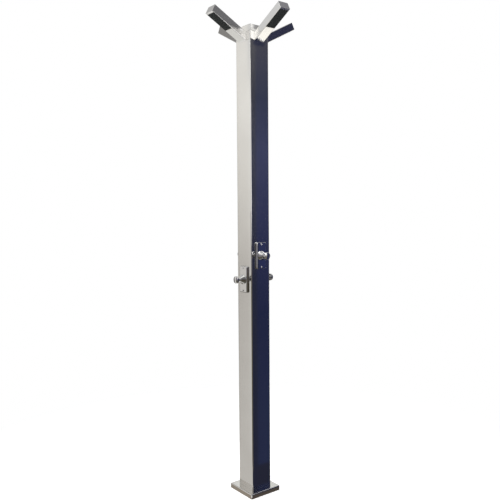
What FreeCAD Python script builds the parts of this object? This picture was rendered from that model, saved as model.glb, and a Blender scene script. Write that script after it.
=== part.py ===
import FreeCAD, Part
import math
import os

# Free-standing shower column for four people, in millimetres.
# The origin is on the floor at the middle of the base, and +Z is up.
# The front face looks along -Y, the right face along +X, the back along +Y and the left along -X.

# Column: a square tube with a flat cap welded flush on its top
column_height = 2450.0
column_width = 120.0
column_wall = 2.0
column_corner_radius = 4.0
column_bore_radius = 2.0
cap_thickness = 3.0
cap_edge = 0.8

# Base: an anchor flange welded under the tube, and a folded cover that drops over it
flange_width = 180.0
flange_thickness = 8.0
anchor_edge_distance = 15.0
anchor_hole_diameter = 12.0
supply_opening_diameter = 70.0
cover_margin = 3.5
cover_sheet = 1.5
cover_corner_radius = 5.0
cover_bend_radius = 4.0
cover_gap = 0.3
nut_room = 15.5

# Arms: rectangular tubes, mitred to the column faces and closed by flush end caps
arm_rise_degrees = 28.0
arm_axis_drop = 56.5
arm_length = 225.0
arm_width = 60.0
arm_height = 40.0
arm_wall = 2.0
arm_corner_radius = 3.0
arm_bore_radius = 1.0
end_cap_thickness = 2.0
pipe_slot_width = 40.0
pipe_slot_height = 32.0

# Spray heads: set into a window in the underside of each arm
window_distance = 90.0
window_lip = 10.0
head_gap = 0.3
frame_thickness = 2.0
frame_side_border = 4.0
frame_end_border = 9.0
pad_thickness = 1.5
pad_recess = 0.5
nozzle_columns = 7
nozzle_rows = 3
nozzle_root_diameter = 5.0
nozzle_tip_diameter = 3.0
nozzle_proud = 1.5
chamber_height = 28.0
chamber_wall = 3.0
chamber_ear = 6.0
chamber_end_gap = 2.0
chamber_inlet_length = 10.0
head_screw_diameter = 3.0
head_screw_head_diameter = 5.6
head_screw_head_height = 1.4
head_screw_length = 9.0
head_screw_gap = 0.1

# Feed pipes: from each valve up the column and out along its arm, in sockets with union nuts
pipe_diameter = 12.0
pipe_wall = 1.0
pipe_bend_radius = 40.0
socket_depth = 6.0
socket_wall = 4.0
socket_gap = 0.05
nut_width = 17.0
nut_length = 12.0

# Valve plates, gaskets and screws
low_valve_height = 1145.0
high_valve_height = 1270.0
plate_width = 64.0
plate_height = 140.0
plate_thickness = 9.0
plate_corner_radius = 8.0
plate_edge = 5.0
gasket_thickness = 1.0
gasket_inset = 1.5
screw_edge_distance = 11.0
screw_diameter = 5.0
screw_tail = 4.0
screw_head_diameter = 10.0
screw_head_height = 2.5
screw_hole_gap = 0.3
thread_gap = 0.05

# Bonnets: turned pieces that clamp the plate and guide the button's neck
bonnet_base_diameter = 50.0
bonnet_base_thickness = 5.0
bonnet_tip_diameter = 26.0
bonnet_length = 22.0
spigot_diameter = 24.0
spigot_engagement = 5.0
spigot_hole_gap = 0.3
seal_section = 2.0
seal_depth = 6.0
seal_gap = 0.1
running_gap = 0.05

# Push buttons: a domed head on a neck, screwed onto the spool's rod
button_diameter = 38.0
button_thickness = 13.0
button_dome = 3.5
button_rim_radius = 3.0
button_edge = 1.0
button_standoff = 17.0
neck_diameter = 15.0
neck_engagement = 14.0
push_travel = 8.0

# Spools and springs inside the valve bodies
rod_diameter = 8.0
rod_engagement = 9.0
spool_length = 12.0
spool_flat_depth = 3.0
stop_gap = 0.3
spring_wire = 2.0
spring_gap = 1.0
spring_pressed_length = 5.0

# Valve bodies: held against the inside of the column faces
body_wall = 5.0
body_rear_wall = 3.0
body_inlet_diameter = 10.0
outlet_bore_diameter = 8.0
outlet_height = 24.0

# Supply riser up the middle of the column, on a threaded inlet fitting
riser_diameter = 22.0
riser_wall = 1.5
riser_top_margin = 20.0
branch_wall = 3.0
thread_diameter = 26.4
thread_length = 18.0
thread_end_height = 6.0
hex_width = 32.0
hex_height = 8.0

# Places that several pieces share
side_angles = {"front": -90.0, "right": 0.0, "back": 90.0, "left": 180.0}
valve_heights = {
    "front": low_valve_height,
    "right": high_valve_height,
    "back": low_valve_height,
    "left": high_valve_height,
}
column_half = column_width / 2
cover_width = flange_width + 2 * cover_margin + 2 * cover_sheet
cover_height = flange_thickness + nut_room + cover_sheet
anchor_place = flange_width / 2 - anchor_edge_distance
arm_axis_height = column_height - arm_axis_drop
window_end = arm_length - window_lip
arm_underside = -arm_height / 2
frame_back = arm_underside + frame_thickness
pad_back = frame_back + pad_thickness
chamber_start = window_distance - chamber_ear
chamber_end = arm_length - end_cap_thickness - chamber_end_gap
chamber_inlet = chamber_start - chamber_inlet_length
pipe_bore = pipe_diameter - 2 * pipe_wall
socket_diameter = pipe_diameter + 2 * socket_gap
socket_boss_diameter = socket_diameter + 2 * socket_wall
screw_place = plate_height / 2 - screw_edge_distance
plate_front = gasket_thickness + plate_thickness
gasket_corner_radius = plate_corner_radius - gasket_inset
bonnet_tip = plate_front + bonnet_length
button_back = bonnet_tip + button_standoff
button_front = button_back + button_thickness
neck_end = bonnet_tip - neck_engagement
spigot_end = -column_wall - spigot_engagement
spool_front = spigot_end - stop_gap
spool_back = spool_front - spool_length
body_floor = spool_back - push_travel - spring_pressed_length
body_back = body_floor - body_rear_wall
body_bore = spigot_diameter + 2 * running_gap
body_diameter = body_bore + 2 * body_wall
neck_bore = neck_diameter + 2 * running_gap
outlet_place = spool_front - spool_length / 2
riser_bore = riser_diameter - 2 * riser_wall
riser_bottom = thread_end_height + thread_length + hex_height
branch_diameter = body_inlet_diameter + 2 * branch_wall

# How far a cutter runs past the face it opens
overrun = 1.0

X_AXIS = FreeCAD.Vector(1, 0, 0)
Y_AXIS = FreeCAD.Vector(0, 1, 0)
Z_AXIS = FreeCAD.Vector(0, 0, 1)
ORIGIN = FreeCAD.Vector(0, 0, 0)


def block(x, y, z):
    """A box between two values along each axis."""
    corner = FreeCAD.Vector(x[0], y[0], z[0])
    return Part.makeBox(x[1] - x[0], y[1] - y[0], z[1] - z[0], corner)


def rounded(solid, radius, axis):
    """The solid with its edges along one axis rounded."""
    edges = []
    for edge in solid.Edges:
        run = edge.Vertexes[1].Point - edge.Vertexes[0].Point
        if abs(run.dot(axis)) > run.cross(axis).Length:
            edges.append(edge)
    return solid.makeFillet(radius, edges)


def square_prism(width, bottom, top, radius):
    """An upright prism on the column's axis, with rounded corners."""
    half = width / 2
    prism = block((-half, half), (-half, half), (bottom, top))
    return rounded(prism, radius, Z_AXIS)


def top_rounded(solid, radius):
    """The solid with the edges of its top face rounded."""
    top_face = max(solid.Faces, key=lambda face: face.CenterOfMass.z)
    return solid.makeFillet(radius, top_face.Edges)


def rod(diameter, start, end, axis=X_AXIS, foot=ORIGIN):
    """A cylinder between two distances along an axis through a foot."""
    return Part.makeCylinder(diameter / 2, end - start, foot + axis * start, axis)


def turned(points):
    """A solid turned about the X axis from (distance, radius) corners."""
    corners = [FreeCAD.Vector(distance, radius, 0) for distance, radius in points]
    outline = Part.makePolygon(corners + corners[:1])
    return Part.Face(outline).revolve(ORIGIN, X_AXIS, 360)


def hexagon(width, start, end, axis=Z_AXIS, foot=ORIGIN):
    """A hexagonal bar, given across its flats, between two distances along an axis."""
    corner_radius = width / math.sqrt(3)
    corners = []
    for index in range(6):
        angle = math.pi / 3 * index
        corners.append(FreeCAD.Vector(math.cos(angle), math.sin(angle), 0) * corner_radius)
    outline = Part.makePolygon(corners + corners[:1])
    bar = Part.Face(outline).extrude(Z_AXIS * (end - start))
    bar.Placement = FreeCAD.Placement(foot + axis * start, FreeCAD.Rotation(Z_AXIS, axis))
    return bar


def along_arm(solid):
    """A solid from the arm's own frame (X along the arm) set on the right face."""
    foot = FreeCAD.Vector(column_half, 0, arm_axis_height)
    return solid.rotated(ORIGIN, Y_AXIS, -arm_rise_degrees).translated(foot)


def on_face(solid, height):
    """A solid from the valve's own frame (X out of the face) set on the right face."""
    return solid.translated(FreeCAD.Vector(column_half, 0, height))


def turned_to(solid, side):
    """A solid made for the right face, carried round to another side."""
    return solid.rotated(ORIGIN, Z_AXIS, side_angles[side])


def screw_places():
    """The two screws of a valve plate, above and below the bonnet."""
    return [Z_AXIS * screw_place, Z_AXIS * -screw_place]


# Column and base


def make_column_tube():
    top = column_height - cap_thickness
    bore_width = column_width - 2 * column_wall
    tube = square_prism(column_width, flange_thickness, top, column_corner_radius)
    tube = tube.cut(square_prism(bore_width, 0, column_height, column_bore_radius))
    for side, height in valve_heights.items():
        cutters = [rod(spigot_diameter + 2 * spigot_hole_gap, -2 * column_wall, column_wall)]
        for place in screw_places():
            hole = rod(screw_diameter + 2 * thread_gap, -2 * column_wall, column_wall, X_AXIS, place)
            cutters.append(hole)
        slot = block(
            (-2 * column_wall, column_wall),
            (-pipe_slot_width / 2, pipe_slot_width / 2),
            (-pipe_slot_height / 2, pipe_slot_height / 2),
        )
        cutters = [on_face(cutter, height) for cutter in cutters] + [on_face(slot, arm_axis_height)]
        tube = tube.cut([turned_to(cutter, side) for cutter in cutters])
    return tube


def make_column_cap():
    cap = square_prism(column_width, column_height - cap_thickness, column_height, column_corner_radius)
    return top_rounded(cap, cap_edge)


def make_base_flange():
    half = flange_width / 2
    flange = block((-half, half), (-half, half), (0, flange_thickness))
    holes = [rod(supply_opening_diameter, -overrun, flange_thickness + overrun, Z_AXIS)]
    for x in (-anchor_place, anchor_place):
        for y in (-anchor_place, anchor_place):
            foot = FreeCAD.Vector(x, y, 0)
            holes.append(rod(anchor_hole_diameter, -overrun, flange_thickness + overrun, Z_AXIS, foot))
    return flange.cut(holes)


def make_base_cover():
    """A sheet folded down on four sides, as thick in the folds as on the flats."""
    cover = square_prism(cover_width, 0, cover_height, cover_corner_radius)
    cover = top_rounded(cover, cover_bend_radius)
    hollow = square_prism(
        cover_width - 2 * cover_sheet,
        -overrun,
        cover_height - cover_sheet,
        cover_corner_radius - cover_sheet,
    )
    hollow = top_rounded(hollow, cover_bend_radius - cover_sheet)
    passage = square_prism(
        column_width + 2 * cover_gap,
        0,
        cover_height + overrun,
        column_corner_radius + cover_gap,
    )
    return cover.cut([hollow, passage])


# Arms


def make_arm_tube():
    def bar(width, height, radius, end):
        solid = block((-arm_height, end), (-width / 2, width / 2), (-height / 2, height / 2))
        return rounded(solid, radius, X_AXIS)

    inside_width = arm_width - 2 * arm_wall
    tube = bar(arm_width, arm_height, arm_corner_radius, arm_length - end_cap_thickness)
    inside = bar(inside_width, arm_height - 2 * arm_wall, arm_bore_radius, arm_length)
    window = block(
        (window_distance, window_end),
        (-inside_width / 2, inside_width / 2),
        (arm_underside - overrun, arm_underside + arm_wall + arm_corner_radius),
    )
    tube = along_arm(tube.cut([inside, window]))
    column = block((-column_half, column_half), (-column_half, column_half), (0, column_height))
    return tube.cut(column)


def make_arm_end_cap():
    cap = block(
        (arm_length - end_cap_thickness, arm_length),
        (-arm_width / 2, arm_width / 2),
        (-arm_height / 2, arm_height / 2),
    )
    return along_arm(rounded(cap, arm_corner_radius, X_AXIS))


def window_block(end_inset, side_inset, bottom, top):
    """A block that fills the arm's window between two heights, drawn in by two insets."""
    half = arm_width / 2 - arm_wall - head_gap - side_inset
    run = (window_distance + head_gap + end_inset, window_end - head_gap - end_inset)
    return block(run, (-half, half), (bottom, top))


def head_screw_places():
    """The two screws of a spray head, in the middle of the frame's end borders."""
    inset = head_gap + frame_end_border / 2
    return [X_AXIS * (window_distance + inset), X_AXIS * (window_end - inset)]


def head_screw(place, gap):
    """A countersunk screw that points up into the arm, or its hole when given a gap."""
    head_radius = head_screw_head_diameter / 2 + gap
    shank_radius = head_screw_diameter / 2 + gap
    foot = place + Z_AXIS * arm_underside
    head = Part.makeCone(head_radius, shank_radius, head_screw_head_height, foot, Z_AXIS)
    return head.fuse(rod(2 * shank_radius, 0, head_screw_length + gap, Z_AXIS, foot))


def make_head_screws():
    return [along_arm(head_screw(place, 0)) for place in head_screw_places()]


def head_screw_holes():
    return [head_screw(place, head_screw_gap) for place in head_screw_places()]


def make_spray_frame():
    frame = window_block(0, 0, arm_underside, frame_back)
    opening = window_block(
        frame_end_border,
        frame_side_border,
        arm_underside - overrun,
        frame_back + overrun,
    )
    return along_arm(frame.cut([opening] + head_screw_holes()))


def make_nozzle(place):
    """One nozzle: a cone that points down out of the pad."""
    root = arm_underside + pad_recess
    length = pad_recess + nozzle_proud
    return Part.makeCone(
        nozzle_root_diameter / 2,
        nozzle_tip_diameter / 2,
        length,
        place + Z_AXIS * root,
        -Z_AXIS,
    )


def make_nozzle_pad():
    back = window_block(0, 0, frame_back, pad_back)
    field = window_block(
        frame_end_border + head_gap,
        frame_side_border + head_gap,
        arm_underside + pad_recess,
        frame_back,
    )
    box = field.BoundBox
    column_pitch = box.XLength / nozzle_columns
    row_pitch = box.YLength / nozzle_rows
    nozzles = []
    for column in range(nozzle_columns):
        for row in range(nozzle_rows):
            along = box.XMin + column_pitch * (column + 0.5)
            across = box.YMin + row_pitch * (row + 0.5)
            nozzles.append(make_nozzle(FreeCAD.Vector(along, across, 0)))
    pad = back.fuse([field] + nozzles).removeSplitter()
    return along_arm(pad.cut(head_screw_holes()))


def make_spray_chamber():
    half = arm_width / 2 - arm_wall - head_gap
    top = pad_back + chamber_height
    seat = arm_underside + arm_wall
    body = block((chamber_start, chamber_end), (-half, half), (seat, top))
    body = rounded(body, arm_bore_radius, X_AXIS)
    body = body.fuse(rod(socket_boss_diameter, chamber_inlet, chamber_start))
    rebate = block(
        (window_distance, window_end),
        (-half - overrun, half + overrun),
        (seat - overrun, pad_back),
    )
    water_start = frame_end_border + chamber_wall
    water = window_block(water_start, chamber_wall, pad_back - overrun, top - chamber_wall)
    inlet = rod(outlet_bore_diameter, chamber_inlet, window_distance + head_gap + water_start + overrun)
    socket = rod(socket_diameter, chamber_inlet - overrun, chamber_inlet + socket_depth)
    return along_arm(body.cut([rebate, water, inlet, socket] + head_screw_holes()))


def arm_direction():
    rise = math.radians(arm_rise_degrees)
    return FreeCAD.Vector(math.cos(rise), 0, math.sin(rise))


def arm_point(distance):
    """A point on the right arm's axis, at a distance from the column's face."""
    return FreeCAD.Vector(column_half, 0, arm_axis_height) + arm_direction() * distance


def outlet_top(valve_height):
    """The middle of the face on top of a valve's outlet, on the right side."""
    return FreeCAD.Vector(column_half + outlet_place, 0, valve_height + outlet_height)


def make_feed_pipe(valve_height):
    """A pipe up from the valve's outlet, round one bend and out along the arm's axis."""
    half_turn = math.radians(90 - arm_rise_degrees) / 2
    tangent = pipe_bend_radius * math.tan(half_turn)
    corner = arm_point(outlet_place / arm_direction().x)
    start = outlet_top(valve_height) - Z_AXIS * socket_depth
    bend_start = corner - Z_AXIS * tangent
    bend_end = corner + arm_direction() * tangent
    inward = (arm_direction() - Z_AXIS).normalize()
    bend_middle = corner + inward * (pipe_bend_radius / math.cos(half_turn) - pipe_bend_radius)
    end = arm_point(chamber_inlet + socket_depth)
    path = Part.Wire(
        [
            Part.LineSegment(start, bend_start).toShape(),
            Part.Arc(bend_start, bend_middle, bend_end).toShape(),
            Part.LineSegment(bend_end, end).toShape(),
        ]
    )

    def tube(diameter):
        section = Part.Wire([Part.makeCircle(diameter / 2, start, Z_AXIS)])
        return path.makePipeShell([section], True, False)

    return tube(pipe_diameter).cut(tube(pipe_bore))


def make_pipe_nuts(valve_height):
    """The two union nuts of a pipe, one against each socket."""
    seats = ((outlet_top(valve_height), Z_AXIS), (arm_point(chamber_inlet), -arm_direction()))
    nuts = []
    for seat, axis in seats:
        bore = rod(socket_diameter, -overrun, nut_length + overrun, axis, seat)
        nuts.append(hexagon(nut_width, 0, nut_length, axis, seat).cut(bore))
    return nuts


# Valves


def make_plate_gasket():
    half_width = plate_width / 2 - gasket_inset
    half_height = plate_height / 2 - gasket_inset
    sheet = block((0, gasket_thickness), (-half_width, half_width), (-half_height, half_height))
    sheet = rounded(sheet, gasket_corner_radius, X_AXIS)
    holes = [rod(spigot_diameter + 2 * spigot_hole_gap, -overrun, gasket_thickness + overrun)]
    for place in screw_places():
        hole = rod(screw_diameter + 2 * screw_hole_gap, -overrun, gasket_thickness + overrun, X_AXIS, place)
        holes.append(hole)
    return sheet.cut(holes)


def make_valve_plate():
    plate = block(
        (gasket_thickness, plate_front),
        (-plate_width / 2, plate_width / 2),
        (-plate_height / 2, plate_height / 2),
    )
    plate = rounded(plate, plate_corner_radius, X_AXIS)
    front_face = max(plate.Faces, key=lambda face: face.CenterOfMass.x)
    plate = plate.makeFillet(plate_edge, front_face.Edges)
    holes = [rod(spigot_diameter + 2 * spigot_hole_gap, 0, plate_front + overrun)]
    for place in screw_places():
        holes.append(rod(screw_diameter + 2 * screw_hole_gap, 0, plate_front + overrun, X_AXIS, place))
    return plate.cut(holes)


def make_plate_screws():
    screws = []
    for place in screw_places():
        head = rod(screw_head_diameter, plate_front, plate_front + screw_head_height, X_AXIS, place)
        shank = rod(screw_diameter, -column_wall - screw_tail, plate_front, X_AXIS, place)
        screws.append(head.fuse(shank))
    return screws


def make_valve_bonnet():
    base_radius = bonnet_base_diameter / 2
    spigot_radius = spigot_diameter / 2
    seal_place = bonnet_tip - seal_depth
    groove_half = seal_section / 2 + seal_gap
    groove_radius = neck_bore / 2 + seal_section + seal_gap
    return turned(
        [
            (spigot_end, neck_bore / 2),
            (spigot_end, spigot_radius),
            (plate_front, spigot_radius),
            (plate_front, base_radius),
            (plate_front + bonnet_base_thickness, base_radius),
            (bonnet_tip, bonnet_tip_diameter / 2),
            (bonnet_tip, neck_bore / 2),
            (seal_place + groove_half, neck_bore / 2),
            (seal_place + groove_half, groove_radius),
            (seal_place - groove_half, groove_radius),
            (seal_place - groove_half, neck_bore / 2),
        ]
    )


def make_stem_seal():
    """The square-section ring in the bonnet's groove that wipes the button's neck."""
    inner = neck_bore / 2
    outer = inner + seal_section
    front = bonnet_tip - seal_depth + seal_section / 2
    back = front - seal_section
    return turned([(back, inner), (back, outer), (front, outer), (front, inner)])


def make_push_button():
    """A head with a domed front that runs over a round rim into its side, and a neck with a socket."""

    def arc(centre, height, reach, start, end):
        points = []
        for angle in (start, (start + end) / 2, end):
            place = FreeCAD.Vector(centre + reach * math.cos(angle), height + reach * math.sin(angle), 0)
            points.append(place)
        return Part.Arc(*points).toShape()

    radius = button_diameter / 2
    neck_radius = neck_diameter / 2
    socket_radius = rod_diameter / 2 + running_gap
    socket_end = neck_end + rod_engagement
    dome_radius = (radius**2 + button_dome**2) / (2 * button_dome)
    dome_centre = button_front - dome_radius
    rim_height = radius - button_rim_radius
    rim_reach = dome_radius - button_rim_radius
    rim_angle = math.asin(rim_height / rim_reach)
    rim_centre = dome_centre + rim_reach * math.cos(rim_angle)
    corners = [
        (socket_end, 0),
        (socket_end, socket_radius),
        (neck_end, socket_radius),
        (neck_end, neck_radius),
        (button_back, neck_radius),
        (button_back, radius - button_edge),
        (button_back + button_edge, radius),
        (rim_centre, radius),
    ]
    points = [FreeCAD.Vector(distance, reach, 0) for distance, reach in corners]
    crown = FreeCAD.Vector(button_front, 0, 0)
    rim = arc(rim_centre, rim_height, button_rim_radius, math.pi / 2, rim_angle)
    dome = arc(dome_centre, 0, dome_radius, rim_angle, 0)
    axis_edge = Part.LineSegment(crown, points[0]).toShape()
    outline = Part.Wire(Part.makePolygon(points).Edges + [rim, dome, axis_edge])
    return Part.Face(outline).revolve(ORIGIN, X_AXIS, 360)


def make_valve_spool():
    """The spool that opens the outlet, with a flat that lets water pass, and its rod."""
    spool_radius = body_bore / 2 - running_gap
    spool = rod(2 * spool_radius, spool_back, spool_front)
    flat = block(
        (spool_back - overrun, spool_front + overrun),
        (-spool_radius, spool_radius),
        (-spool_radius, spool_flat_depth - spool_radius),
    )
    return spool.cut(flat).fuse(rod(rod_diameter, spool_front, neck_end + rod_engagement))


def make_return_spring():
    outer = body_bore / 2 - spring_gap
    inner = outer - spring_wire
    end = spool_back - stop_gap
    return turned([(body_floor, inner), (body_floor, outer), (end, outer), (end, inner)])


def make_valve_body():
    place = X_AXIS * outlet_place
    body = rod(body_diameter, body_back, -column_wall)
    body = body.fuse(rod(socket_boss_diameter, 0, outlet_height, Z_AXIS, place))
    bores = [
        rod(body_bore, body_floor, 0),
        rod(body_inlet_diameter, body_back - overrun, body_floor + overrun),
        rod(outlet_bore_diameter, 0, outlet_height, Z_AXIS, place),
        rod(socket_diameter, outlet_height - socket_depth, outlet_height + overrun, Z_AXIS, place),
    ]
    return body.cut(bores)


# Water supply


def make_supply_riser():
    top = max(valve_heights.values()) + riser_top_margin
    pipe = rod(riser_diameter, riser_bottom, top, Z_AXIS)
    bores = [rod(riser_bore, riser_bottom - overrun, top - riser_wall, Z_AXIS)]
    for side, height in valve_heights.items():
        branch = rod(branch_diameter, 0, column_half + body_back).translated(Z_AXIS * height)
        bore = rod(body_inlet_diameter, 0, column_half).translated(Z_AXIS * height)
        pipe = pipe.fuse(turned_to(branch, side))
        bores.append(turned_to(bore, side))
    return pipe.cut(bores)


def make_inlet_fitting():
    hex_bottom = thread_end_height + thread_length
    thread = rod(thread_diameter, thread_end_height, hex_bottom, Z_AXIS)
    bore = rod(riser_bore, thread_end_height - overrun, riser_bottom + overrun, Z_AXIS)
    return hexagon(hex_width, hex_bottom, riser_bottom).fuse(thread).cut(bore)


# All pieces, each written to a file of its own


def save(name, shape):
    shape.exportStep(os.path.join("parts", name + ".step"))


def main():
    os.makedirs("parts", exist_ok=True)
    save("column_tube", make_column_tube())
    save("column_cap", make_column_cap())
    save("base_flange", make_base_flange())
    save("base_cover", make_base_cover())
    save("supply_riser", make_supply_riser())
    save("inlet_fitting", make_inlet_fitting())
    arm_pieces = {
        "arm_tube": make_arm_tube(),
        "arm_end_cap": make_arm_end_cap(),
        "spray_frame": make_spray_frame(),
        "nozzle_pad": make_nozzle_pad(),
        "spray_chamber": make_spray_chamber(),
    }
    valve_pieces = {
        "valve_plate": make_valve_plate(),
        "valve_bonnet": make_valve_bonnet(),
        "push_button": make_push_button(),
        "valve_spool": make_valve_spool(),
        "return_spring": make_return_spring(),
        "valve_body": make_valve_body(),
    }
    groups = {}
    for side, height in valve_heights.items():
        for name, piece in arm_pieces.items():
            save(side + "_" + name, turned_to(piece, side))
        for name, piece in valve_pieces.items():
            save(side + "_" + name, turned_to(on_face(piece, height), side))
        save(side + "_feed_pipe", turned_to(make_feed_pipe(height), side))
        small_pieces = {
            "plate_gaskets": [on_face(make_plate_gasket(), height)],
            "plate_screws": [on_face(screw, height) for screw in make_plate_screws()],
            "head_screws": make_head_screws(),
            "stem_seals": [on_face(make_stem_seal(), height)],
            "pipe_nuts": make_pipe_nuts(height),
        }
        for name, pieces in small_pieces.items():
            groups.setdefault(name, []).extend(turned_to(piece, side) for piece in pieces)
    for name, pieces in groups.items():
        save(name, Part.makeCompound(pieces))


main()
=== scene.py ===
import math

import bmesh
import bpy
from mathutils import Matrix, Vector


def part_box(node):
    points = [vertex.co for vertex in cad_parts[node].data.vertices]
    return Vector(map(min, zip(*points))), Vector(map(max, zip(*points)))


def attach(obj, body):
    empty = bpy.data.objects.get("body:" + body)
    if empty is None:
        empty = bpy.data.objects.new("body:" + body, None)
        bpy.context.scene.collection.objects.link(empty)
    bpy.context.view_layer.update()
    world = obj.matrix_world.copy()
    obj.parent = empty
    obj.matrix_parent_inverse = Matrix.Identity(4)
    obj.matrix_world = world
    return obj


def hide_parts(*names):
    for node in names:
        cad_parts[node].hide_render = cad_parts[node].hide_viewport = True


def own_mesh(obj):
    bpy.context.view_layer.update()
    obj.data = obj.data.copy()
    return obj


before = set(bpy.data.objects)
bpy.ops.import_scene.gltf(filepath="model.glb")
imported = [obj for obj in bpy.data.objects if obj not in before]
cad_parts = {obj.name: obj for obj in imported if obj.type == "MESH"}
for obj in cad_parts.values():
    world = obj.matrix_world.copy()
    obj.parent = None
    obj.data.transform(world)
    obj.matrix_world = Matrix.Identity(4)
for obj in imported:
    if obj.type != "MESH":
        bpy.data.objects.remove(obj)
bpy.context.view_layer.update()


# Anchor flange: a square steel plate that is bolted to the floor and carries the column.
# It has four anchor holes and an opening for the supply, its upper edges are broken by hand,
# and its surface is left as rolled, because the cover hides it.
flange_low, flange_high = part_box("base_flange")
flange_edge = 0.0006
anchor_place = 0.075
anchor_radius = 0.006
supply_radius = 0.035
hole_overrun = 0.002
X, Y, Z = 0, 1, 2
same_place = 1e-5
fine_corners = 96
smooth_angle = math.radians(32)
noise_low = 0.3
noise_high = 0.7
blotch_rate = 60


def close_edit():
    """Leaves edit mode, if a piece is open."""
    if bpy.context.mode != "OBJECT":
        bpy.ops.object.mode_set(mode="OBJECT")


def deselect():
    """Closes what is open, with nothing selected."""
    close_edit()
    bpy.ops.object.select_all(action="DESELECT")


def take(piece):
    """Makes a piece the only one selected, and the active one."""
    deselect()
    piece.select_set(True)
    bpy.context.view_layer.objects.active = piece


def open_edit(piece):
    """Opens a piece in edit mode with nothing of it selected."""
    if bpy.context.mode != "EDIT_MESH" or bpy.context.active_object != piece:
        take(piece)
        bpy.ops.object.mode_set(mode="EDIT")
    bpy.ops.mesh.select_all(action="DESELECT")


def settle(piece):
    """Puts a piece's place, turn and size into its mesh."""
    take(piece)
    bpy.ops.object.transform_apply(location=True, rotation=True, scale=True)


def added(name):
    """The piece that was just added, under its name."""
    piece = bpy.context.active_object
    piece.name = name
    return piece


def box_between(name, low, high):
    """A box between two corners."""
    deselect()
    low = Vector(low)
    high = Vector(high)
    bpy.ops.mesh.primitive_cube_add(size=1, location=(low + high) / 2)
    piece = added(name)
    piece.scale = [abs(side) for side in high - low]
    settle(piece)
    return piece


def cone_between(name, start, end, radii, corners):
    """A round or many-sided bar between two points, with a radius at each end."""
    deselect()
    start = Vector(start)
    run = Vector(end) - start
    bpy.ops.mesh.primitive_cone_add(
        vertices=corners,
        radius1=radii[0],
        radius2=radii[1],
        depth=run.length,
        location=start + run / 2,
        rotation=run.to_track_quat("Z", "Y").to_euler(),
    )
    piece = added(name)
    settle(piece)
    return piece


def bar_between(name, start, end, radius, corners=48):
    return cone_between(name, start, end, (radius, radius), corners)


def pick_edges(piece, test):
    """Selects the edges whose direction and two ends pass a test."""
    open_edit(piece)
    bpy.ops.mesh.select_mode(type="EDGE")
    mesh = bmesh.from_edit_mesh(piece.data)
    for edge in mesh.edges:
        first, second = (corner.co for corner in edge.verts)
        if test((second - first).normalized(), first, second):
            edge.select_set(True)
    bmesh.update_edit_mesh(piece.data)


def round_edges(piece, radius, steps, test):
    pick_edges(piece, test)
    bpy.ops.mesh.bevel(offset=radius, segments=steps, affect="EDGES")


def round_rim(piece, axis, place, radius, steps):
    """Rounds the edges that lie in one plane across an axis."""

    def in_plane(run, first, second):
        return max(abs(first[axis] - place), abs(second[axis] - place)) < same_place

    round_edges(piece, radius, steps, in_plane)


def finish_with(piece, kind, **values):
    """Adds a modifier to a piece and applies it."""
    take(piece)
    modifier = piece.modifiers.new(kind.lower(), kind)
    for name, value in values.items():
        setattr(modifier, name, value)
    bpy.ops.object.modifier_apply(modifier=modifier.name)


def join(pieces):
    """Joins pieces into the first of them."""
    take(pieces[0])
    for piece in pieces:
        piece.select_set(True)
    bpy.ops.object.join()
    return pieces[0]


def cut(piece, cutters, operation="DIFFERENCE"):
    """Cuts other pieces out of a piece, or unites them with it, and takes them away."""
    cutter = join(cutters)
    finish_with(piece, "BOOLEAN", object=cutter, operation=operation, solver="EXACT")
    bpy.data.objects.remove(cutter)


def fit(piece, body, nodes, material):
    """Smooths a finished piece, keeps its flat faces flat, and puts it on its body."""
    take(piece)
    bpy.ops.object.shade_smooth_by_angle(angle=smooth_angle)
    finish_with(piece, "WEIGHTED_NORMAL", keep_sharp=True)
    piece.data.name = piece.name
    piece.data.materials.clear()
    piece.data.materials.append(material)
    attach(piece, body)
    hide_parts(*nodes)


def start_material(name, metallic):
    """A new material, with its node tree and its shader."""
    material = bpy.data.materials.new(name)
    material.use_nodes = True
    tree = material.node_tree
    shader = tree.nodes["Principled BSDF"]
    shader.inputs["Metallic"].default_value = metallic
    return material, tree, shader


def node(tree, kind, **inputs):
    """A new node, with inputs that are set, or linked where they come from another node."""
    new = tree.nodes.new("ShaderNode" + kind)
    for name, value in inputs.items():
        socket = new.inputs[name.replace("_", " ")]
        if isinstance(value, bpy.types.NodeSocket):
            tree.links.new(value, socket)
        else:
            socket.default_value = value
    return new


def noise(tree, source, stretch, detail):
    """Noise with its grains stretched: repeats in a metre along each axis."""
    mapping = node(tree, "Mapping", Scale=stretch, Vector=source)
    place = mapping.outputs["Vector"]
    return node(tree, "TexNoise", Scale=1.0, Detail=detail, Vector=place).outputs["Fac"]


def object_place(tree):
    return node(tree, "TexCoord").outputs["Object"]


def tint(tree, shader, value, dark, light):
    """Colours a surface between two tones by a noise."""
    ramp = node(tree, "ValToRGB", Fac=value)
    stops = ((noise_low, dark), (noise_high, light))
    for element, (place, colour) in zip(ramp.color_ramp.elements, stops):
        element.position = place
        element.color = (*colour, 1)
    tree.links.new(ramp.outputs["Color"], shader.inputs["Base Color"])


def gloss(tree, shader, value, low, high):
    """Varies a surface's roughness between two values by a noise."""
    spread = node(tree, "MapRange", Value=value, From_Min=noise_low, From_Max=noise_high)
    spread.inputs["To Min"].default_value = low
    spread.inputs["To Max"].default_value = high
    tree.links.new(spread.outputs["Result"], shader.inputs["Roughness"])


def relief(tree, shader, heights):
    """Gives a surface fine height from (noise, depth in metres) pairs."""
    normal = None
    for value, depth in heights:
        bump = node(tree, "Bump", Distance=depth, Height=value)
        if normal:
            tree.links.new(normal, bump.inputs["Normal"])
        normal = bump.outputs["Normal"]
    tree.links.new(normal, shader.inputs["Normal"])


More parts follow.
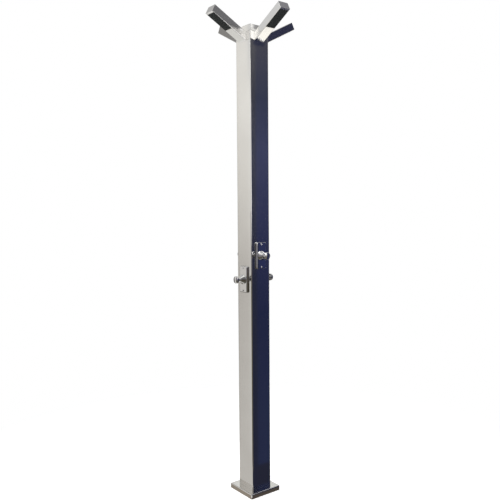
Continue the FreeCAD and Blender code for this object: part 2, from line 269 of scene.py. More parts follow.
def plain_finish(name, metallic, dark, light, rough, grain, depth, shine=0.5):
    """A finish with blotches of two tones and an even fine grain."""
    material, tree, shader = start_material(name, metallic)
    shader.inputs["Specular IOR Level"].default_value = shine
    place = object_place(tree)
    blotch = noise(tree, place, 3 * [blotch_rate], detail=5)
    fine = noise(tree, place, 3 * [grain], detail=2)
    tint(tree, shader, blotch, dark, light)
    gloss(tree, shader, blotch, *rough)
    relief(tree, shader, [(fine, depth)])
    return material


mill_steel = plain_finish(
    "mill_steel", 1.0, (0.40, 0.40, 0.39), (0.56, 0.55, 0.53),
    rough=(0.32, 0.48), grain=900, depth=0.00004,
)

flange = box_between("anchor_flange", flange_low, flange_high)
bottom = flange_low.z - hole_overrun
top = flange_high.z + hole_overrun
holes = [bar_between("supply_hole", (0, 0, bottom), (0, 0, top), supply_radius, fine_corners)]
for x in (-anchor_place, anchor_place):
    for y in (-anchor_place, anchor_place):
        holes.append(bar_between("anchor_hole", (x, y, bottom), (x, y, top), anchor_radius))
cut(flange, holes)
round_rim(flange, Z, flange_high.z, flange_edge, steps=2)
fit(flange, "column", ["base_flange"], mill_steel)


# Column tube: a square stainless tube with a 2 mm wall and drawn round corners, polished
# along its length. It is welded to the flange, and each of its faces is drilled for a valve
# and its two screws, and slotted behind the arm's root for the pipe that feeds the arm.
column_low, column_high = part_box("column_tube")
column_half = column_high.x
column_wall = 0.002
column_corner = 0.004
spigot_hole_radius = 0.0123
screw_hole_radius = 0.00255
screw_place = 0.059
pipe_slot_half = (0.020, 0.016)
hole_start = column_half - column_wall - hole_overrun
same_way = 0.99
steel_tone = 0.675
steel_warmth = (0.0, -0.01, -0.03)
steel_gloss = (0.07, 0.13)
steel_anisotropy = 0.3
cloud_rate = 6
cloud_contrast = 0.02
grain_along = 9
grain_across = 900
grain_depth = 0.000004
wave_rate = 2.6
wave_depth = 0.0002
arm_foot = Vector((column_half, 0, 2.3935))
side_turns = {"front": -90, "right": 0, "back": 90, "left": 180}
valve_heights = {"front": 1.145, "right": 1.270, "back": 1.145, "left": 1.270}


def lay_place(tree):
    attribute = node(tree, "Attribute")
    attribute.attribute_name = "lay"
    return attribute.outputs["Vector"]


def polished_steel(name, axis, tone=steel_tone):
    """Polished stainless sheet: a fine grain along an axis, and a slow wave in its reflections."""
    stretch = [grain_along if way == axis else grain_across for way in (X, Y, Z)]
    dark = [tone + warmth - cloud_contrast for warmth in steel_warmth]
    light = [tone + warmth + cloud_contrast for warmth in steel_warmth]
    material, tree, shader = start_material(name, 1.0)
    shader.inputs["Anisotropic"].default_value = steel_anisotropy
    place = lay_place(tree)
    grain = noise(tree, place, stretch, detail=3)
    cloud = noise(tree, place, 3 * [cloud_rate], detail=4)
    wave = noise(tree, place, 3 * [wave_rate], detail=0)
    tint(tree, shader, cloud, dark, light)
    gloss(tree, shader, grain, *steel_gloss)
    relief(tree, shader, [(grain, grain_depth), (wave, wave_depth)])
    return material


upright_steel = polished_steel("upright_steel", Z)


def turn_to(piece, side, height=0.0):
    """Carries a piece made on the right side round to another side."""
    piece.rotation_euler.z = math.radians(side_turns[side])
    piece.location.z = height
    settle(piece)
    return piece


def face_hole(height, radius, depth=column_wall):
    """A cutter through the right face of the column, or through what lies on it."""
    hole_end = column_half + depth + hole_overrun
    return bar_between("face_hole", (hole_start, 0, height), (hole_end, 0, height), radius)


def valve_holes(screw_radius, depth=column_wall):
    """Cutters on the right side for a valve's spigot and its two screws."""
    holes = [face_hole(0, spigot_hole_radius, depth)]
    for place in (-screw_place, screw_place):
        holes.append(face_hole(place, screw_radius, depth))
    return holes


def block(name, start, end, half):
    """A box along X between two places, with its half sizes across Y and upwards."""
    return box_between(name, (start, -half[0], -half[1]), (end, half[0], half[1]))


def pick_faces(piece, axis, *ways):
    """Selects the faces that look along an axis: up it (1), down it (-1) or both ways."""
    open_edit(piece)
    bpy.ops.mesh.select_mode(type="FACE")
    mesh = bmesh.from_edit_mesh(piece.data)
    for face in mesh.faces:
        if any(face.normal[axis] * way > same_way for way in ways):
            face.select_set(True)
    bmesh.update_edit_mesh(piece.data)


def open_ends(piece, axis, *ways):
    """Takes away the faces of a box that look along an axis."""
    pick_faces(piece, axis, *ways)
    bpy.ops.mesh.delete(type="ONLY_FACE")


def round_along(piece, axis, radius, steps):
    """Rounds the edges that run along one axis."""
    round_edges(piece, radius, steps, lambda run, first, second: abs(run[axis]) > same_way)


def thicken(piece, wall):
    """Gives an open shell its wall, inwards."""
    finish_with(piece, "SOLIDIFY", thickness=wall, offset=-1, use_even_offset=True)


def keep_lay(piece):
    """Keeps each point's place, so that the grain stays with a piece that is turned."""
    close_edit()
    lay = piece.data.attributes.new("lay", "FLOAT_VECTOR", "POINT")
    for point, corner in zip(lay.data, piece.data.vertices):
        point.vector = corner.co


column = box_between("column", column_low, column_high)
open_ends(column, Z, -1, 1)
round_along(column, Z, column_corner, steps=6)
thicken(column, column_wall)
holes = []
for side, height in valve_heights.items():
    holes += [turn_to(hole, side, height) for hole in valve_holes(screw_hole_radius)]
    slot = block("pipe_slot", hole_start, column_half + hole_overrun, pipe_slot_half)
    holes.append(turn_to(slot, side, arm_foot.z))
cut(column, holes)
keep_lay(column)
fit(column, "column", ["column_tube"], upright_steel)


# Column cap: a 3 mm stainless plate welded into the top of the tube and ground flush with its
# sides. Its top edge is broken, and the joint shows as a hairline under it.
cap_low, cap_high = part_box("column_cap")
cap_edge = 0.0008
joint_line = 0.0002

cap = box_between("column_top", cap_low, cap_high)
round_along(cap, Z, column_corner, steps=6)
round_rim(cap, Z, cap_high.z, cap_edge, steps=3)
round_rim(cap, Z, cap_low.z, joint_line, steps=1)
keep_lay(cap)
fit(cap, "column", ["column_cap"], upright_steel)


# Flange weld: a fillet bead round the foot of the tube, laid in short even ripples and left
# with the straw and blue tint of the heat. It stays under the base cover.
bead_radius = 0.0026
bead_step = 0.0014
bead_ripple = 0.14
bead_corner_steps = 4
bead_resolution = 2
straw = (0.46, 0.38, 0.27)
heat_blue = (0.42, 0.43, 0.48)
weld_gloss = (0.22, 0.40)
pit_depth = 0.00003


def heat_tinted_weld(name):
    material, tree, shader = start_material(name, 1.0)
    place = object_place(tree)
    stains = noise(tree, place, 3 * [90], detail=3)
    sheen = noise(tree, place, 3 * [400], detail=3)
    pits = noise(tree, place, 3 * [1500], detail=2)
    tint(tree, shader, stains, straw, heat_blue)
    gloss(tree, shader, sheen, *weld_gloss)
    relief(tree, shader, [(pits, pit_depth)])
    return material


def weld_round(name, centre, across, upright, corner, turn, radius):
    """A closed weld bead round a rounded rectangle, in a plane that is turned about Y."""
    deselect()
    bpy.ops.mesh.primitive_plane_add(size=1)
    bead = added(name)
    bead.scale = (upright, across, 1)
    settle(bead)
    open_edit(bead)
    bpy.ops.mesh.select_mode(type="VERT")
    bpy.ops.mesh.select_all(action="SELECT")
    bpy.ops.mesh.bevel(offset=corner, segments=bead_corner_steps, affect="VERTICES")
    bpy.ops.mesh.delete(type="ONLY_FACE")
    for run, length in ((0, upright), (1, across)):
        pick_edges(bead, lambda way, first, second: abs(way[run]) > same_way)
        bpy.ops.mesh.subdivide(number_cuts=int((length - 2 * corner) / bead_step))
    bead.rotation_euler.y = turn
    bead.location = centre
    settle(bead)
    bpy.ops.object.convert(target="CURVE")
    bead.data.bevel_depth = radius
    bead.data.bevel_resolution = bead_resolution
    for index, point in enumerate(bead.data.splines[0].points):
        point.radius = 1 - bead_ripple * (index % 2)
    bpy.ops.object.convert(target="MESH")
    return bead


weld_metal = heat_tinted_weld("weld_metal")
foot_weld = weld_round(
    "foot_weld",
    Vector((0, 0, flange_high.z)),
    2 * column_half,
    2 * column_half,
    column_corner,
    0.0,
    bead_radius,
)
fit(foot_weld, "column", [], weld_metal)


# Water supply: a threaded brass inlet in the foot, a steel riser with a branch to each valve,
# and a bent steel pipe from each valve up to its arm, held in sockets by brass union nuts.
# All of it stays inside the column and the arms.
pipe_steel = plain_finish(
    "pipe_steel", 1.0, (0.50, 0.50, 0.49), (0.60, 0.60, 0.59),
    rough=(0.22, 0.34), grain=700, depth=0.00002,
)
turned_brass = plain_finish(
    "turned_brass", 1.0, (0.66, 0.49, 0.22), (0.75, 0.58, 0.30),
    rough=(0.18, 0.32), grain=800, depth=0.00002,
)


def dress(nodes, material):
    """Gives pieces that keep their plain shape their finish."""
    for name in nodes:
        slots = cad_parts[name].data.materials
        slots.clear()
        slots.append(material)


dress(["supply_riser"] + [side + "_feed_pipe" for side in side_turns], pipe_steel)
dress(["inlet_fitting", "pipe_nuts"], turned_brass)


# Arms: rectangular stainless tubes, 60 by 40 mm, that rise outwards at 28 degrees. Each is
# cut to a mitre on the column's face and welded there, with a window in its underside for
# the spray head. The grain runs along the arm.
arm_rise = math.radians(28)
arm_length = 0.225
arm_half_width = 0.030
arm_half_height = 0.020
arm_half = (arm_half_width, arm_half_height)
arm_wall = 0.002
arm_corner = 0.003
arm_cap = 0.002
arm_root = -0.040
window = (0.090, 0.215)
window_half_width = arm_half_width - arm_wall


def raise_arm(piece):
    """Carries a piece from the arm's own frame, with X along the arm, to the right arm."""
    close_edit()
    piece.rotation_euler.y = -arm_rise
    piece.location = arm_foot
    settle(piece)
    return piece


def copy_to(piece, side, name, height=0.0):
    """A copy of a piece made on the right side, on another side."""
    take(piece)
    bpy.ops.object.duplicate()
    return turn_to(added(name), side, height)


def copy_round(piece, kind, at_valves=False):
    """Puts copies on all sides in the place of a piece made on the right."""
    copies = {}
    for side in side_turns:
        height = valve_heights[side] if at_valves else 0.0
        copies[side] = copy_to(piece, side, side + kind, height)
    bpy.data.objects.remove(piece)
    return copies


def fit_sides(piece, kind, replaced, material, at_valves=False):
    """Fits copies of a piece made on the right to all sides, as pieces of their own."""
    for side, copy in copy_round(piece, kind, at_valves).items():
        fit(copy, "column", [side + replaced] if replaced else [], material)


arm_steel = polished_steel("arm_steel", X)

arm = block("arm", arm_root, arm_length - arm_cap, arm_half)
open_ends(arm, X, -1, 1)
round_along(arm, X, arm_corner, steps=5)
thicken(arm, arm_wall)
open_edit(arm)
bpy.ops.mesh.select_all(action="SELECT")
bpy.ops.mesh.bisect(
    plane_co=(0, 0, 0),
    plane_no=(math.cos(arm_rise), 0, -math.sin(arm_rise)),
    clear_inner=True,
)
bpy.ops.mesh.select_mode(type="EDGE")
bpy.ops.mesh.select_all(action="DESELECT")
bpy.ops.mesh.select_non_manifold(extend=False)
bpy.ops.mesh.bridge_edge_loops()
opening = box_between(
    "window",
    (window[0], -window_half_width, -arm_half_height - hole_overrun),
    (window[1], window_half_width, -arm_half_height + arm_wall + hole_overrun),
)
cut(arm, [opening])
keep_lay(arm)
raise_arm(arm)
fit_sides(arm, "_arm", "_arm_tube", arm_steel)


# Arm end caps: 2 mm stainless plates welded into the ends of the arms and ground flush, with
# a hairline joint and a broken outer edge.
end_cap_edge = 0.0005

cross_steel = polished_steel("cross_steel", Y)

end_cap = block("end_cap", arm_length - arm_cap, arm_length, arm_half)
round_along(end_cap, X, arm_corner, steps=5)
round_rim(end_cap, X, arm_length, end_cap_edge, steps=3)
round_rim(end_cap, X, arm_length - arm_cap, joint_line, steps=1)
keep_lay(end_cap)
raise_arm(end_cap)
fit_sides(end_cap, "_arm_end", "_arm_end_cap", cross_steel)


# Arm welds: fine beads of stainless weld metal that join the mitred roots of the arms to the
# faces of the column. They are brushed bright after welding.
arm_bead_radius = 0.0005

arm_weld = weld_round(
    "arm_weld",
    arm_foot,
    2 * arm_half_width,
    2 * arm_half_height / math.cos(arm_rise),
    arm_corner,
    math.radians(90),
    arm_bead_radius,
)
keep_lay(arm_weld)
fit_sides(arm_weld, "_arm_weld", "", arm_steel)


# Spray chambers: moulded boxes of grey plastic that spread the water over the nozzles. They lie
# inside the arms, behind the windows, and the feed pipes end in them.
moulded_grey = plain_finish(
    "moulded_grey", 0.0, (0.30, 0.30, 0.31), (0.37, 0.37, 0.38),
    rough=(0.40, 0.55), grain=1200, depth=0.00003,
)
dress([side + "_spray_chamber" for side in side_turns], moulded_grey)


# Nozzle pads: black silicone mouldings that fill the windows in the arms, with three rows of
# seven soft nozzles. Lime is rubbed off the tips by hand, so they stand proud of the frame.
head_gap = 0.0003
frame_sides = 0.004
frame_ends = 0.009
frame_thickness = 0.002
pad_back_thickness = 0.0015
pad_recess = 0.0005
pad_corner = 0.0016
nozzle_columns = 7
nozzle_rows = 3
nozzle_root_radius = 0.0025
nozzle_tip_radius = 0.0015
nozzle_bore_radius = 0.0007
nozzle_bore_depth = 0.0012
nozzle_proud = 0.0015
nozzle_sink = 0.0002
nozzle_edge = 0.00018
nozzle_corners = 20
underside = -arm_half_height


def extrude(step):
    """Extrudes what is selected, and moves it by a step."""
    bpy.ops.mesh.extrude_region_move(TRANSFORM_OT_translate={"value": step})


def window_box(name, ends, width, bottom, top):
    """A box that fills the arm's window, drawn in at its ends and sides."""
    half = window_half_width - head_gap - width
    return box_between(
        name,
        (window[0] + head_gap + ends, -half, bottom),
        (window[1] - head_gap - ends, half, top),
    )


black_silicone = plain_finish(
    "black_silicone", 0.0, (0.012, 0.014, 0.014), (0.019, 0.022, 0.022),
    rough=(0.48, 0.62), grain=1500, depth=0.00003, shine=0.15,
)
pad_face = underside + pad_recess
pad_seat = underside + frame_thickness

pad = window_box("nozzle_pad", frame_ends + head_gap, frame_sides + head_gap, pad_face, pad_seat)
round_along(pad, Z, pad_corner, steps=4)
pad_back = window_box("pad_back", 0, 0, pad_seat - head_gap, pad_seat + pad_back_thickness)
cut(pad, [pad_back], "UNION")
field_start = window[0] + 2 * head_gap + frame_ends
field_half = window_half_width - 2 * head_gap - frame_sides
column_pitch = (window[1] - window[0] - 4 * head_gap - 2 * frame_ends) / nozzle_columns
row_pitch = 2 * field_half / nozzle_rows
nozzles = []
for column_index in range(nozzle_columns):
    for row_index in range(nozzle_rows):
        x = field_start + column_pitch * (column_index + 0.5)
        y = -field_half + row_pitch * (row_index + 0.5)
        root = (x, y, pad_face + nozzle_sink)
        tip = (x, y, underside - nozzle_proud)
        radii = (nozzle_root_radius, nozzle_tip_radius)
        nozzle = cone_between("nozzle", root, tip, radii, nozzle_corners)
        pick_faces(nozzle, Z, -1)
        bpy.ops.mesh.inset(thickness=nozzle_tip_radius - nozzle_bore_radius)
        extrude((0, 0, nozzle_bore_depth))
        round_rim(nozzle, Z, tip[2], nozzle_edge, steps=2)
        nozzles.append(nozzle)
cut(pad, nozzles, "UNION")
raise_arm(pad)
fit_sides(pad, "_nozzles", "_nozzle_pad", black_silicone)


# Spray frames: moulded frames of black plastic that hold the pads in the windows, flush with
# the arms. Each is held by two countersunk screws of blackened steel in its end borders.
frame_edge = 0.0004
csk_head_radius = 0.0028
csk_shank_radius = 0.0015
csk_head_height = 0.0014
csk_length = 0.009
csk_gap = 0.0001
csk_socket_radius = 0.00115
csk_socket_depth = 0.0009
csk_corners = 32
csk_places = [window[0] + head_gap + frame_ends / 2, window[1] - head_gap - frame_ends / 2]

moulded_black = plain_finish(
    "moulded_black", 0.0, (0.010, 0.012, 0.012), (0.015, 0.018, 0.018),
    rough=(0.42, 0.55), grain=1400, depth=0.00002, shine=0.2,
)
blackened_steel = plain_finish(
    "blackened_steel", 1.0, (0.06, 0.06, 0.06), (0.10, 0.10, 0.10),
    rough=(0.30, 0.42), grain=900, depth=0.00002,
)

spray_frame = window_box("spray_frame", 0, 0, underside, pad_seat)
bottom = underside - hole_overrun
top = pad_seat + hole_overrun
frame_opening = window_box("frame_opening", frame_ends, frame_sides, bottom, top)
round_along(frame_opening, Z, pad_corner + head_gap, steps=4)
seats = []
for place in csk_places:
    foot = (place, 0, underside)
    radii = (csk_head_radius + csk_gap, csk_shank_radius + csk_gap)
    seat_top = (place, 0, underside + csk_head_height)
    seat = cone_between("csk_seat", foot, seat_top, radii, csk_corners)
    start = (place, 0, underside + csk_gap)
    shank_hole = bar_between("csk_hole", start, (place, 0, top), radii[1], csk_corners)
    cut(seat, [shank_hole], "UNION")
    seats.append(seat)
cut(spray_frame, [frame_opening])
cut(spray_frame, seats)


def clear_of_screws(run, first, second):
    """Edges in the face of the frame that don't belong to a screw's seat."""
    off_face = max(abs(first.z - underside), abs(second.z - underside))
    off_screw = min(abs(first.x - place) for place in csk_places)
    return off_face < same_place and off_screw > 2 * csk_head_radius


round_edges(spray_frame, frame_edge, 2, clear_of_screws)
raise_arm(spray_frame)
fit_sides(spray_frame, "_head_frame", "_spray_frame", moulded_black)


def hex_socket(piece, mouth, inward, radius, depth):
    """Sinks a hexagon socket into the head of a screw."""
    inward = Vector(inward)
    socket = bar_between("socket", mouth - inward * hole_overrun, mouth + inward * depth, radius, 6)
    cut(piece, [socket])


def fit_group(piece, name, replaced, material, at_valves=False):
    """Fits copies of a piece made on the right to all sides, as one group."""
    group = join(list(copy_round(piece, "_" + name, at_valves).values()))
    group.name = name
    fit(group, "column", [replaced], material)


screws = []
for place in csk_places:
    foot = Vector((place, 0, underside))
    top = foot + Vector((0, 0, csk_head_height))
    screw = cone_between("csk_screw", foot, top, (csk_head_radius, csk_shank_radius), csk_corners)
    pick_faces(screw, Z, 1)
    extrude((0, 0, csk_length - csk_head_height))
    hex_socket(screw, foot, (0, 0, 1), csk_socket_radius, csk_socket_depth)
    screws.append(raise_arm(screw))
pair = join(screws)
fit_group(pair, "spray_head_screws", "head_screws", blackened_steel)


# Valve insides: a brass body behind each face, a brass spool on the button's rod and a rubber
# seal round the button's neck. All of it is out of sight.
black_rubber = plain_finish(
    "black_rubber", 0.0, (0.020, 0.020, 0.020), (0.032, 0.032, 0.031),
    rough=(0.50, 0.68), grain=1500, depth=0.00004,
)
dress([side + "_valve_body" for side in side_turns], turned_brass)
dress([side + "_valve_spool" for side in side_turns], turned_brass)
dress(["stem_seals"], black_rubber)


# Return springs: coils of round steel wire between the floor of each valve body and the back of its
# spool. In the real valve they are pressed together when the button is pushed in; here each keeps
# its length.
spring_back = column_half - 0.0323
spring_front = column_half - 0.0196
wire_radius = 0.00065
wire_corners = 12
coil_radius = 0.01005
coil_turns = 2.4
coil_steps = 120

spring_steel = plain_finish(
    "spring_steel", 1.0, (0.42, 0.42, 0.42), (0.52, 0.52, 0.52),
    rough=(0.20, 0.30), grain=700, depth=0.00002,
)

deselect()
bpy.ops.mesh.primitive_circle_add(
    vertices=wire_corners,
    radius=wire_radius,
    location=(spring_back + wire_radius, 0, coil_radius),
    rotation=(math.radians(90), 0, 0),
)
spring = added("spring")
settle(spring)
spring_length = spring_front - spring_back
finish_with(
    spring,
    "SCREW",
    axis="X",
    angle=coil_turns * math.tau,
    screw_offset=spring_length - 2 * wire_radius,
    steps=coil_steps,
    render_steps=coil_steps,
)
open_edit(spring)
bpy.ops.mesh.select_all(action="SELECT")
bpy.ops.mesh.fill_holes(sides=0)
bpy.ops.mesh.normals_make_consistent(inside=False)
close_edit()
for side, piece in copy_round(spring, "_spring", at_valves=True).items():
    fit(piece, "column", [side + "_return_spring"], spring_steel)
    outwards = Matrix.Rotation(math.radians(side_turns[side]), 3, "Z") @ Vector((1, 0, 0))
    foot = spring_back * outwards + Vector((0, 0, valve_heights[side]))
    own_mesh(piece)


# Gaskets: 1 mm black rubber sheets that keep water out of the holes behind the valve plates.
# They are cut a little smaller than the plates, and bulge slightly where they are squeezed.
gasket_thickness = 0.001
gasket_half = (0.0305, 0.0685)
gasket_corner = 0.0065
gasket_bulge = 0.0003
clear_hole_radius = 0.0028
gasket_front = column_half + gasket_thickness

gasket = block("gasket", column_half, gasket_front, gasket_half)
round_along(gasket, X, gasket_corner, steps=8)
round_rim(gasket, X, column_half, gasket_bulge, steps=2)
round_rim(gasket, X, gasket_front, gasket_bulge, steps=2)
cut(gasket, valve_holes(clear_hole_radius))
fit_group(gasket, "gaskets", "plate_gaskets", black_rubber, at_valves=True)


# Valve plates: chromed brass plates, 64 by 140 mm, with round corners and a full front edge.
# The bonnet clamps each plate through its middle, and two screws hold its ends.
plate_thickness = 0.009
plate_half = (0.032, 0.070)
plate_corner = 0.008
plate_edge = 0.005
plate_front = gasket_front + plate_thickness
chrome_dark = (0.74, 0.74, 0.74)
chrome_light = (0.80, 0.80, 0.80)
chrome_gloss = (0.03, 0.07)
mark_depth = 0.000002


def bright_chrome(name):
    """Chrome plate: a clean mirror with faint polishing marks."""
    material, tree, shader = start_material(name, 1.0)
    place = object_place(tree)
    marks = noise(tree, place, 3 * [700], detail=3)
    film = noise(tree, place, 3 * [40], detail=4)
    tint(tree, shader, film, chrome_dark, chrome_light)
    gloss(tree, shader, film, *chrome_gloss)
    relief(tree, shader, [(marks, mark_depth)])
    return material


chrome = bright_chrome("bright_chrome")

plate = block("plate", gasket_front, plate_front, plate_half)
round_along(plate, X, plate_corner, steps=8)
round_rim(plate, X, plate_front, plate_edge, steps=8)
cut(plate, valve_holes(clear_hole_radius, plate_thickness))
fit_sides(plate, "_plate", "_valve_plate", chrome, at_valves=True)


# Bonnets: turned and chromed pieces that pass through the plate, clamp it to the face and
# guide the button. A round foot runs up in a cone to the lip round the button's neck.
bonnet_foot_radius = 0.025
bonnet_foot = 0.005
bonnet_tip_radius = 0.013
bonnet_length = 0.022
spigot_radius = 0.012
spigot_end = -0.007
neck_bore_radius = 0.00755
seal_groove = (0.0249, 0.0271, 0.00965)
lip = 0.0006
lathe_steps = 72


def lathe(name, outline):
    """Spins an outline of (distance from the face, radius) corners about the valve's axis."""
    deselect()
    bpy.ops.mesh.primitive_plane_add(size=0.001)
    piece = added(name)
    open_edit(piece)
    bpy.ops.mesh.select_mode(type="VERT")
    bpy.ops.mesh.select_all(action="SELECT")
    bpy.ops.mesh.merge(type="CENTER")
    last = Vector((0, 0, 0))
    for index, (distance, radius) in enumerate(outline):
        corner = Vector((column_half + distance, 0, radius))
        step = tuple(corner - last)
        if index == 0:
            bpy.ops.transform.translate(value=step)
        else:
            extrude(step)
        last = corner
    bpy.ops.mesh.select_all(action="SELECT")
    bpy.ops.mesh.spin(steps=lathe_steps, angle=math.tau, center=(0, 0, 0), axis=(1, 0, 0))
    bpy.ops.mesh.select_all(action="SELECT")
    bpy.ops.mesh.remove_doubles(threshold=same_place)
    bpy.ops.mesh.normals_make_consistent(inside=False)
    close_edit()
    return piece


def arc(centre, radius, start, end, steps):
    """Corners of a round stretch of an outline, with its angles in degrees from the axis."""
    corners = []
    for index in range(steps + 1):
        angle = math.radians(start + (end - start) * index / steps)
        distance = centre[0] + radius * math.cos(angle)
        corners.append((distance, centre[1] + radius * math.sin(angle)))
    return corners


foot_back = gasket_thickness + plate_thickness
foot_front = foot_back + bonnet_foot
bonnet_tip = foot_back + bonnet_length
cone_angle = math.degrees(
    math.atan2(bonnet_foot_radius - bonnet_tip_radius, bonnet_length - bonnet_foot)
)
bonnet_outline = [(spigot_end, neck_bore_radius), (spigot_end, spigot_radius - lip)]
bonnet_outline += [(spigot_end + lip, spigot_radius), (foot_back, spigot_radius)]
bonnet_outline += [(foot_back, bonnet_foot_radius - lip)]
bonnet_outline += arc((foot_back + lip, bonnet_foot_radius - lip), lip, 180, 90, 3)
bonnet_outline += arc((foot_front - lip, bonnet_foot_radius - lip), lip, 90, 90 - cone_angle, 3)
bonnet_outline += arc((bonnet_tip - lip, bonnet_tip_radius - lip / 2), lip, 90 - cone_angle, 0, 4)
bonnet_outline += [(bonnet_tip, neck_bore_radius + lip), (bonnet_tip - lip, neck_bore_radius)]
bonnet_outline += [(seal_groove[1], neck_bore_radius), (seal_groove[1], seal_groove[2])]
bonnet_outline += [(seal_groove[0], seal_groove[2]), (seal_groove[0], neck_bore_radius)]
bonnet_outline += [(spigot_end, neck_bore_radius)]
bonnet = lathe("bonnet", bonnet_outline)
fit_sides(bonnet, "_bonnet", "_valve_bonnet", chrome, at_valves=True)


# Push buttons: turned and chromed mushrooms on a round neck, screwed onto the spool's rod.
# The head is thick, with a domed front and a round rim, and the neck runs out into its back
# in a small curve.
button_radius = 0.019
button_back = 0.049
button_front = 0.062
button_dome = 0.0035
rim_radius = 0.003
back_edge = 0.001
neck_radius = 0.0075
neck_end = 0.018
neck_curve = 0.002
rod_socket_radius = 0.00405
rod_socket_end = 0.027

dome_radius = (button_radius**2 + button_dome**2) / (2 * button_dome)
dome_centre = button_front - dome_radius
rim_height = button_radius - rim_radius
rim_place = math.sqrt((dome_radius - rim_radius) ** 2 - rim_height**2)
dome_angle = math.degrees(math.atan2(rim_height, rim_place))
button_outline = [(rod_socket_end, 0), (rod_socket_end, rod_socket_radius)]
button_outline += [(neck_end, rod_socket_radius), (neck_end, neck_radius - lip)]
button_outline += [(neck_end + lip, neck_radius)]
button_outline += arc((button_back - neck_curve, neck_radius + neck_curve), neck_curve, -90, 0, 5)
button_outline += arc((button_back + back_edge, button_radius - back_edge), back_edge, 180, 90, 4)
button_outline += arc((dome_centre + rim_place, rim_height), rim_radius, 90, dome_angle, 8)
button_outline += arc((dome_centre, 0), dome_radius, dome_angle, 0, 12)[1:]
button = lathe("button", button_outline)
for side, piece in copy_round(button, "_button", at_valves=True).items():
    fit(piece, side + "_button", [side + "_push_button"], chrome)


# Plate screws: screws with low round heads and hexagon sockets, two in each plate, tapped
# into the wall of the column. Their chrome is satin, so they catch light from all sides.
screw_radius = 0.0025
screw_end = -0.006
screw_head_radius = 0.005
screw_head = 0.0025
screw_dome = 0.0016
screw_socket_radius = 0.0017
screw_socket_depth = 0.0015

satin_chrome = plain_finish(
    "satin_chrome", 1.0, (0.84, 0.84, 0.84), (0.90, 0.90, 0.90),
    rough=(0.50, 0.60), grain=800, depth=0.00001,
)

screws = []
for place in (-screw_place, screw_place):
    screw = bar_between(
        "plate_screw",
        (plate_front, 0, place),
        (plate_front + screw_head, 0, place),
        screw_head_radius,
    )
    round_rim(screw, X, plate_front + screw_head, screw_dome, steps=5)
    pick_faces(screw, X, -1)
    bpy.ops.mesh.inset(thickness=screw_head_radius - screw_radius)
    extrude((column_half + screw_end - plate_front, 0, 0))
    mouth = Vector((plate_front + screw_head, 0, place))
    hex_socket(screw, mouth, (-1, 0, 0), screw_socket_radius, screw_socket_depth)
    screws.append(screw)
pair = join(screws)
fit_group(pair, "valve_plate_screws", "plate_screws", satin_chrome, at_valves=True)


# Base cover: a 1.5 mm polished sheet folded down on four sides, with welded corners and a
# square hole for the column. It lies loose over the flange and its nuts, and slides up the
# column when they have to be reached.
cover_low, cover_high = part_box("base_cover")
cover_sheet = 0.0015
cover_corner = 0.005
cover_bend = 0.004
cover_gap = 0.0003
cover_lit_tone = 0.82

# The cover's steel is the column's polished steel in a lighter tone: painted light that brightens
# the cover and what the column's foot mirrors of it.
cover_steel = polished_steel("cover_steel", X, cover_lit_tone)

cover = box_between("cover", cover_low, cover_high)
open_ends(cover, Z, -1)
round_along(cover, Z, cover_corner, steps=8)
round_rim(cover, Z, cover_high.z, cover_bend, steps=8)
thicken(cover, cover_sheet)
passage_half = column_half + cover_gap
passage = box_between(
    "passage",
    (-passage_half, -passage_half, cover_high.z - 2 * cover_sheet - hole_overrun),
    (passage_half, passage_half, cover_high.z + hole_overrun),
)
round_along(passage, Z, column_corner + cover_gap, steps=6)
cut(cover, [passage])
keep_lay(cover)
fit(cover, "base_cover", ["base_cover"], cover_steel)


# Studio floor: pale and plain. The camera sees it white with the object's shadow. The steel mirrors
# a glowing painted floor instead: painted shade, dark and warm, by the base, and a painted pool of
# light far off at the back left.
floor_reach = 14.0
floor_white = (0.9, 0.9, 0.9, 1)
floor_lift = 0.5
foot_shade_tone = (0.31, 0.27, 0.225)
base_shade_tone = (0.20, 0.18, 0.15)
back_glow_tone = (1.48, 1.45, 1.38)
left_tone = (0.93, 0.93, 0.90)
fade_start = 0.5
fade_end = 2.0
foot_reach = 0.12
near_reach = 0.32
back_left = (-0.45, 0.90, 0)
back_start = 0.95
back_full = 1.35
no_share = (0, 0, 0)
full_share = (1, 1, 1)


def ramp_of(tree, value, low, high, stops):
    """Colours along a value: (value, colour) pairs between a low and a high one."""
    spread = node(tree, "MapRange", Value=value, From_Min=low, From_Max=high)
    ramp = node(tree, "ValToRGB", Fac=spread.outputs["Result"])
    while len(ramp.color_ramp.elements) < len(stops):
        ramp.color_ramp.elements.new(0.5)
    for element, (place, colour) in zip(ramp.color_ramp.elements, stops):
        element.position = (place - low) / (high - low)
        element.color = (*colour, 1)
    return ramp.outputs["Color"]


def measure(tree, place, operation, along=None):
    """A point's distance from the middle, or its place along a direction."""
    maths = node(tree, "VectorMath")
    maths.operation = operation
    if along:
        maths.inputs[1].default_value = along
    tree.links.new(place, maths.inputs[0])
    return maths.outputs["Value"]


def glow_of(tree, colour):
    return node(tree, "Emission", Color=colour).outputs[0]


def mix_of(tree, share, first, second):
    mix = node(tree, "MixShader")
    for socket, value in zip(mix.inputs, (share, first, second)):
        tree.links.new(value, socket)
    return mix.outputs[0]


def bare_material(name):
    material = bpy.data.materials.new(name)
    material.use_nodes = True
    material.node_tree.nodes.clear()
    return material, material.node_tree


